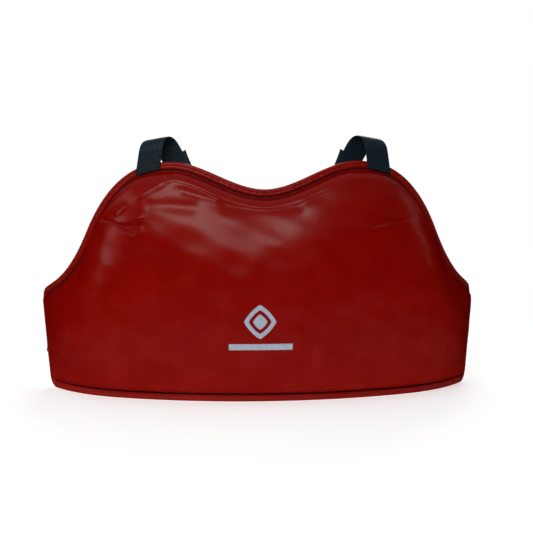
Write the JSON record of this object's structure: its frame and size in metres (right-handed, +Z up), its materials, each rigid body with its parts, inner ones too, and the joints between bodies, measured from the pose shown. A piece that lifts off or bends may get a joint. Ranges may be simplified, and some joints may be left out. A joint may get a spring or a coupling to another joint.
{
  "type": "trainer belly pad",
  "caption": "Curved foam body shield with a scooped neck, bound edge, two-strap back harness and side-release buckles.",
  "frame": {"origin": "underside of the bottom binding, in the middle of the pad, where it stands", "axes": "+Z up, +X towards the right wing seen from the front, -Y out of the struck face"},
  "size_m": [0.7256, 0.299, 0.4281],
  "materials": {
    "red_vinyl": "gloss",
    "black_liner": "matte",
    "outer_foam": "matte",
    "inner_foam": "matte",
    "mark_film": "satin",
    "navy_webbing": "matte",
    "black_plastic": "satin"
  },
  "bodies": {
    "pad_center": {"center_front_cover": "red_vinyl", "center_outer_foam": "outer_foam", "center_inner_foam": "inner_foam", "center_rear_liner": "black_liner", "center_top_binding": "red_vinyl", "center_bottom_binding": "red_vinyl", "front_mark": "mark_film", "left_strap_root": "navy_webbing", "right_strap_root": "navy_webbing"},
    "left_wing": {"left_wing_front_cover": "red_vinyl", "left_wing_outer_foam": "outer_foam", "left_wing_inner_foam": "inner_foam", "left_wing_rear_liner": "black_liner", "left_wing_binding": "red_vinyl", "left_side_tab": "navy_webbing"},
    "left_strap": {"left_shoulder_strap": "navy_webbing"},
    "left_keeper": {"left_keeper": "black_plastic"},
    "left_plug": {"left_plug": "black_plastic"},
    "left_inner_prong": {"left_inner_prong": "black_plastic"},
    "left_outer_prong": {"left_outer_prong": "black_plastic"},
    "left_socket": {"left_socket": "black_plastic"},
    "right_wing": {"right_wing_front_cover": "red_vinyl", "right_wing_outer_foam": "outer_foam", "right_wing_inner_foam": "inner_foam", "right_wing_rear_liner": "black_liner", "right_wing_binding": "red_vinyl", "right_side_tab": "navy_webbing"},
    "right_strap": {"right_shoulder_strap": "navy_webbing"},
    "right_keeper": {"right_keeper": "black_plastic"},
    "right_plug": {"right_plug": "black_plastic"},
    "right_inner_prong": {"right_inner_prong": "black_plastic"},
    "right_outer_prong": {"right_outer_prong": "black_plastic"},
    "right_socket": {"right_socket": "black_plastic"}
  },
  "joints": [
    {"name": "left_wing_flex", "type": "hinge", "parent": "pad_center", "child": "left_wing", "pos_m": [-0.24162, 0.04697, 0], "axis": [0, 0, 1], "range_deg": [-12, 20], "stiffness_Nm_per_rad": 6},
    {"name": "left_strap_lift", "type": "hinge", "parent": "pad_center", "child": "left_strap", "pos_m": [-0.18418, 0.02258, 0.38428], "axis": [0.9288, -0.275, 0.2483], "range_deg": [0, 45]},
    {"name": "left_keeper_slide", "type": "slide", "parent": "left_strap", "child": "left_keeper", "axis": [0.4938, -0.1462, -0.8572], "range_m": [-0.05, 0.016]},
    {"name": "left_plug_swing", "type": "hinge", "parent": "left_strap", "child": "left_plug", "pos_m": [-0.06857, 0.02594, 0.26186], "axis": [0.8219, -0.2433, 0.515], "range_deg": [-8, 25]},
    {"name": "left_inner_prong_squeeze", "type": "hinge", "parent": "left_plug", "child": "left_inner_prong", "pos_m": [-0.04412, 0.0187, 0.25641], "axis": [0.2839, 0.9589, 0], "range_deg": [0, 7], "stiffness_Nm_per_rad": 0.3},
    {"name": "left_outer_prong_squeeze", "type": "hinge", "parent": "left_plug", "child": "left_outer_prong", "pos_m": [-0.07543, 0.02797, 0.23679], "axis": [-0.2839, -0.9589, 0], "range_deg": [0, 7], "stiffness_Nm_per_rad": 0.3},
    {"name": "left_socket_swing", "type": "hinge", "parent": "left_wing", "child": "left_socket", "pos_m": [-0.35143, 0.1985, 0.075], "axis": [0, 0, 1], "range_deg": [-30, 30]},
    {"name": "right_wing_flex", "type": "hinge", "parent": "pad_center", "child": "right_wing", "pos_m": [0.24162, 0.04697, 0], "axis": [0, 0, -1], "range_deg": [-12, 20], "stiffness_Nm_per_rad": 6},
    {"name": "right_strap_lift", "type": "hinge", "parent": "pad_center", "child": "right_strap", "pos_m": [0.18418, 0.02258, 0.38428], "axis": [0.9288, 0.275, -0.2483], "range_deg": [0, 45]},
    {"name": "right_keeper_slide", "type": "slide", "parent": "right_strap", "child": "right_keeper", "axis": [-0.4938, -0.1462, -0.8572], "range_m": [-0.05, 0.016]},
    {"name": "right_plug_swing", "type": "hinge", "parent": "right_strap", "child": "right_plug", "pos_m": [0.06857, 0.02594, 0.26186], "axis": [0.8219, 0.2433, -0.515], "range_deg": [-8, 25]},
    {"name": "right_inner_prong_squeeze", "type": "hinge", "parent": "right_plug", "child": "right_inner_prong", "pos_m": [0.04412, 0.0187, 0.25641], "axis": [0.2839, -0.9589, 0], "range_deg": [0, 7], "stiffness_Nm_per_rad": 0.3},
    {"name": "right_outer_prong_squeeze", "type": "hinge", "parent": "right_plug", "child": "right_outer_prong", "pos_m": [0.07543, 0.02797, 0.23679], "axis": [-0.2839, 0.9589, 0], "range_deg": [0, 7], "stiffness_Nm_per_rad": 0.3},
    {"name": "right_socket_swing", "type": "hinge", "parent": "right_wing", "child": "right_socket", "pos_m": [0.35143, 0.1985, 0.075], "axis": [0, 0, 1], "range_deg": [-30, 30]}
  ]
}
